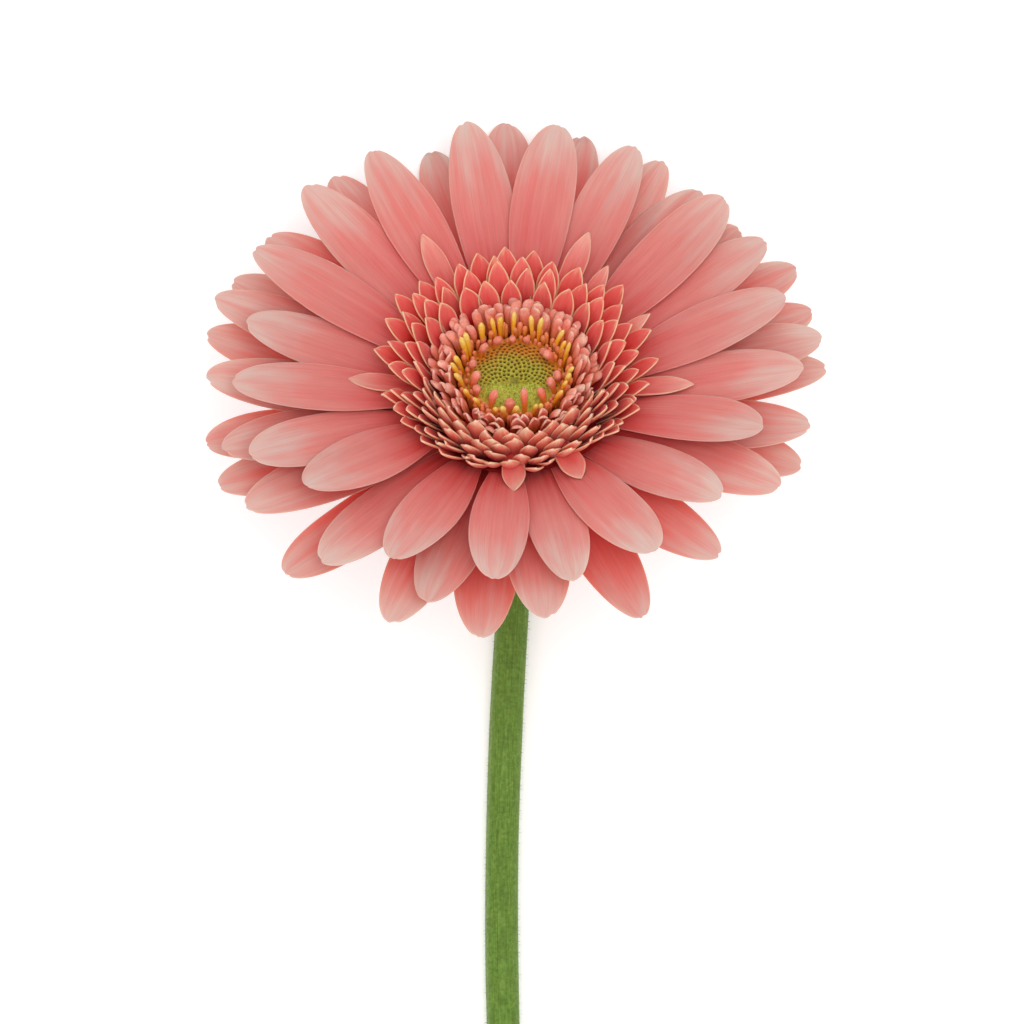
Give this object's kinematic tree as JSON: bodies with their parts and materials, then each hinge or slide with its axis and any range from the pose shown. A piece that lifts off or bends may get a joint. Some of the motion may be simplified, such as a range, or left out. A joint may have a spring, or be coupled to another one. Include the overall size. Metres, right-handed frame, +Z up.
{
  "type": "cut gerbera",
  "caption": "Semi-double salmon gerbera head on a bare green stem, cut and lying down, to lay on a surface or arrange.",
  "frame": {"origin": "on the surface the flower lies on, under the middle of its bounding box", "axes": "+Z up from the surface, +Y from the cut end of the stem towards the head, +X across"},
  "size_m": [0.1004, 0.3022, 0.0624],
  "materials": {
    "ray_petal": "matte, slightly translucent petal with fine lengthwise ribs",
    "trans_floret": "matte coral petal with pale cream margins",
    "disc_florets_curled": "matte rounded pink-beige lobes",
    "disc_florets_open": "satin yellow-orange anther columns among pink lobes",
    "disc_centre": "fuzzy yellow-green buds",
    "receptacle": "matte pale green plant tissue",
    "involucre": "matte green bracts with fine down",
    "stem": "matte green, with short fine hairs"
  },
  "bodies": {
    "root": {"disc_centre": "disc_centre", "disc_florets_curled": "disc_florets_curled", "disc_florets_open": "disc_florets_open", "involucre": "involucre", "ray_back_01": "ray_petal", "ray_back_02": "ray_petal", "ray_back_03": "ray_petal", "ray_back_04": "ray_petal", "ray_back_05": "ray_petal", "ray_back_06": "ray_petal", "ray_back_07": "ray_petal", "ray_back_08": "ray_petal", "ray_back_09": "ray_petal", "ray_back_10": "ray_petal", "ray_back_11": "ray_petal", "ray_back_12": "ray_petal", "ray_back_13": "ray_petal", "ray_back_14": "ray_petal", "ray_back_15": "ray_petal", "ray_back_16": "ray_petal", "ray_front_01": "ray_petal", "ray_front_02": "ray_petal", "ray_front_03": "ray_petal", "ray_front_04": "ray_petal", "ray_front_05": "ray_petal", "ray_front_06": "ray_petal", "ray_front_07": "ray_petal", "ray_front_08": "ray_petal", "ray_front_09": "ray_petal", "ray_front_10": "ray_petal", "ray_front_11": "ray_petal", "ray_front_12": "ray_petal", "ray_front_13": "ray_petal", "ray_front_14": "ray_petal", "ray_front_15": "ray_petal", "ray_front_16": "ray_petal", "ray_front_17": "ray_petal", "ray_front_18": "ray_petal", "ray_front_19": "ray_petal", "ray_front_20": "ray_petal", "ray_middle_01": "ray_petal", "ray_middle_02": "ray_petal", "ray_middle_03": "ray_petal", "ray_middle_04": "ray_petal", "ray_middle_05": "ray_petal", "ray_middle_06": "ray_petal", "ray_middle_07": "ray_petal", "ray_middle_08": "ray_petal", "ray_middle_09": "ray_petal", "ray_middle_10": "ray_petal", "ray_middle_11": "ray_petal", "ray_middle_12": "ray_petal", "ray_middle_13": "ray_petal", "ray_middle_14": "ray_petal", "ray_middle_15": "ray_petal", "receptacle": "receptacle", "stem": "stem", "trans_florets_inner": "trans_floret", "trans_florets_middle": "trans_floret", "trans_florets_outer": "trans_floret"}
  },
  "joints": []
}
